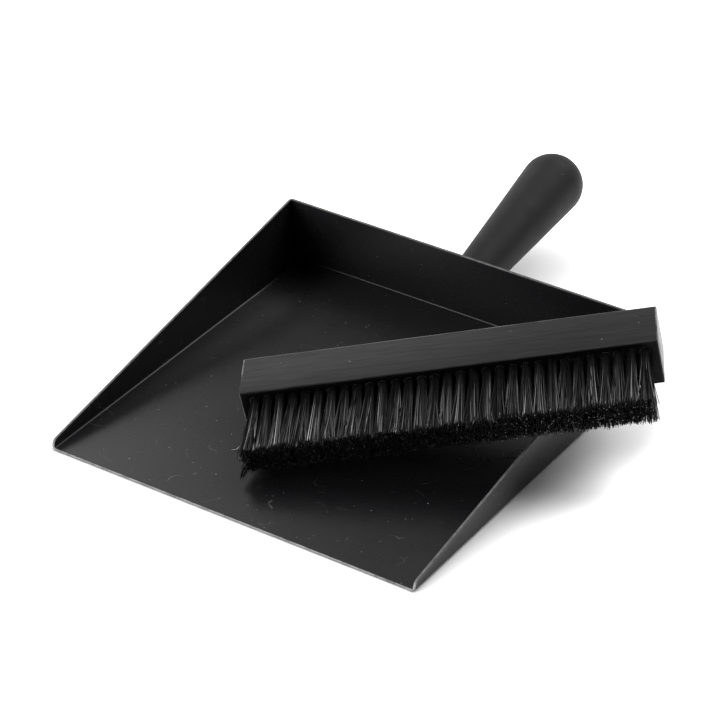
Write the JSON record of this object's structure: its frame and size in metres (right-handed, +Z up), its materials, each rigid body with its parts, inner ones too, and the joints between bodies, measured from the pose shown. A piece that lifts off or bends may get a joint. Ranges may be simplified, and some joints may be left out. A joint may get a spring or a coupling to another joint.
{
  "type": "dustpan and brush",
  "caption": "Folded sheet dustpan with sloping side walls and a tapered round handle, with a long hand brush lying on its side in the pan.",
  "frame": {"origin": "centre of the pan floor's underside, on the surface the pan stands on", "axes": "+Z up, +Y from the lip towards the handle, +X to the right seen from the lip"},
  "size_m": [0.301, 0.3571, 0.0761],
  "materials": {
    "pan_coat": "black powder coat, satin matt, fine texture",
    "handle_paint": "matt black paint on turned wood",
    "block_wood": "black stain, satin, grain showing along the block",
    "bristle": "black synthetic bristle",
    "stud_steel": "plain steel",
    "insert_brass": "plain brass"
  },
  "bodies": {
    "pan": {"pan_tray": "pan_coat", "pan_handle": "handle_paint", "handle_stud": "stud_steel", "handle_insert": "insert_brass"},
    "brush": {"brush_block": "block_wood", "tuft_row_01": "bristle", "tuft_row_02": "bristle", "tuft_row_03": "bristle", "tuft_row_04": "bristle", "tuft_row_05": "bristle", "tuft_row_06": "bristle", "tuft_row_07": "bristle", "tuft_row_08": "bristle", "tuft_row_09": "bristle", "tuft_row_10": "bristle", "tuft_row_11": "bristle", "tuft_row_12": "bristle", "tuft_row_13": "bristle", "tuft_row_14": "bristle", "tuft_row_15": "bristle", "tuft_row_16": "bristle", "tuft_row_17": "bristle", "tuft_row_18": "bristle", "tuft_row_19": "bristle", "tuft_row_20": "bristle", "tuft_row_21": "bristle", "tuft_row_22": "bristle", "tuft_row_23": "bristle", "tuft_row_24": "bristle", "tuft_row_25": "bristle", "tuft_row_26": "bristle", "tuft_row_27": "bristle", "tuft_row_28": "bristle", "tuft_row_29": "bristle", "tuft_row_30": "bristle", "tuft_row_31": "bristle"}
  },
  "joints": [
    {"name": "brush_lift", "type": "slide", "parent": "pan", "child": "brush", "axis": [0, 0, 1], "range_m": [0, 0.15]}
  ]
}
